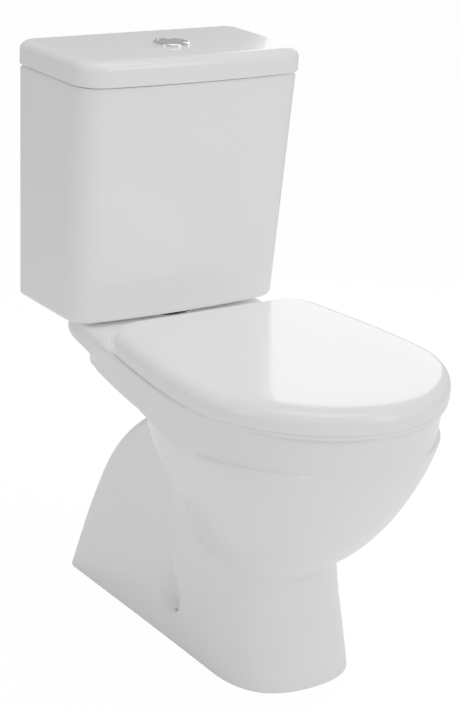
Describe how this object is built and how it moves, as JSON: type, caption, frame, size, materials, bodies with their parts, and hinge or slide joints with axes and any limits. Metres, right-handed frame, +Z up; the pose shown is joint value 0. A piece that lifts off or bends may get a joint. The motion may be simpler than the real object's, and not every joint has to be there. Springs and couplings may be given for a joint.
{
  "type": "close coupled toilet",
  "caption": "Floor-standing ceramic toilet with a cistern bolted on its deck, top push button flush and a wrap-over seat and cover.",
  "frame": {"origin": "on the floor, midway between the wall face and the front of the seat, on the centre line", "axes": "+X to the right seen from the front, +Y to the wall, +Z up"},
  "size_m": [0.3726, 0.65, 0.7876],
  "materials": {
    "ceramic": "glossy",
    "seat_plastic": "glossy",
    "chrome": "polished",
    "steel": "satin",
    "rubber": "matte",
    "buffer_rubber": "matte",
    "nylon": "satin",
    "valve_plastic": "satin",
    "valve_blue": "satin"
  },
  "bodies": {
    "pan": {"pan": "ceramic", "seat_hinge_posts": "seat_plastic", "seat_hinge_pins": "steel", "seat_bolts": "steel", "seat_bolt_washers": "rubber", "seat_wing_nuts": "nylon", "cistern": "ceramic", "coupling_plate": "steel", "flush_valve_nut": "nylon", "coupling_gasket": "rubber", "flush_valve_base": "valve_plastic", "flush_valve_washer": "rubber", "flush_valve_cage": "valve_plastic", "rocker_pins": "steel", "cistern_bolts": "steel", "cistern_bolt_seals": "rubber", "cistern_bolt_washers": "rubber", "cistern_wing_nuts": "nylon", "fill_valve_body": "valve_plastic", "fill_valve_cap": "valve_blue", "fill_valve_washer": "rubber", "fill_valve_nut": "nylon", "lever_pin": "steel"},
    "seat_ring": {"seat_ring": "seat_plastic", "ring_buffers": "buffer_rubber"},
    "seat_cover": {"seat_cover": "seat_plastic", "cover_buffers": "buffer_rubber"},
    "cistern_lid": {"cistern_lid": "ceramic", "button_bezel": "chrome", "button_sleeve": "valve_plastic", "button_clamp_nut": "nylon"},
    "full_flush_button": {"full_flush_button": "chrome", "full_flush_rod": "valve_plastic", "full_flush_spring": "steel"},
    "half_flush_button": {"half_flush_button": "chrome", "half_flush_rod": "valve_plastic", "half_flush_spring": "steel"},
    "full_flush_rocker": {"full_flush_rocker": "valve_blue"},
    "half_flush_rocker": {"half_flush_rocker": "valve_blue"},
    "flush_valve_tube": {"flush_valve_tube": "valve_blue", "flush_valve_seal": "rubber"},
    "half_flush_sleeve": {"half_flush_sleeve": "valve_plastic"},
    "fill_valve_float": {"fill_valve_float": "valve_plastic", "float_rod": "nylon"},
    "fill_valve_lever": {"fill_valve_lever": "valve_blue"}
  },
  "joints": [
    {"name": "seat_ring_hinge", "type": "hinge", "parent": "pan", "child": "seat_ring", "pos_m": [0, 0.084, 0.416], "axis": [-1, 0, 0], "range_deg": [0, 93]},
    {"name": "seat_cover_hinge", "type": "hinge", "parent": "seat_ring", "child": "seat_cover", "pos_m": [0, 0.084, 0.416], "axis": [1, 0, 0], "range_deg": [-93, 0]},
    {"name": "cistern_lid_lift", "type": "slide", "parent": "pan", "child": "cistern_lid", "axis": [0, 0, 1], "range_m": [0, 0.25]},
    {"name": "full_flush_press", "type": "slide", "parent": "cistern_lid", "child": "full_flush_button", "axis": [0, 0, -1], "range_m": [0, 0.006], "stiffness_N_per_m": 600, "springref_m": -0.006, "deforming": ["full_flush_spring"]},
    {"name": "half_flush_press", "type": "slide", "parent": "cistern_lid", "child": "half_flush_button", "axis": [0, 0, -1], "range_m": [0, 0.006], "stiffness_N_per_m": 600, "springref_m": -0.006, "deforming": ["half_flush_spring"]},
    {"name": "full_rocker_tilt", "type": "hinge", "parent": "pan", "child": "full_flush_rocker", "pos_m": [0, 0.191, 0.661], "axis": [0, 1, 0], "range_deg": [0, 16]},
    {"name": "half_rocker_tilt", "type": "hinge", "parent": "pan", "child": "half_flush_rocker", "pos_m": [0, 0.243, 0.661], "axis": [0, -1, 0], "range_deg": [0, 16]},
    {"name": "flush_tube_lift", "type": "slide", "parent": "pan", "child": "flush_valve_tube", "axis": [0, 0, 1], "range_m": [0, 0.0061]},
    {"name": "half_sleeve_lift", "type": "slide", "parent": "pan", "child": "half_flush_sleeve", "axis": [0, 0, 1], "range_m": [0, 0.0061]},
    {"name": "float_rise", "type": "slide", "parent": "pan", "child": "fill_valve_float", "axis": [0, 0, 1], "range_m": [0, 0.012]},
    {"name": "fill_lever_tilt", "type": "hinge", "parent": "pan", "child": "fill_valve_lever", "pos_m": [0.116, 0.288, 0.684], "axis": [0, 1, 0], "range_deg": [0, 20]}
  ],
  "couplings": [
    {"joint": "full_rocker_tilt", "follows": "full_flush_press", "rad_per_m": 45.455},
    {"joint": "flush_tube_lift", "follows": "full_flush_press", "ratio": 1},
    {"joint": "half_rocker_tilt", "follows": "half_flush_press", "rad_per_m": 45.455},
    {"joint": "half_sleeve_lift", "follows": "half_flush_press", "ratio": 1},
    {"joint": "fill_lever_tilt", "follows": "float_rise", "rad_per_m": 27.778}
  ]
}
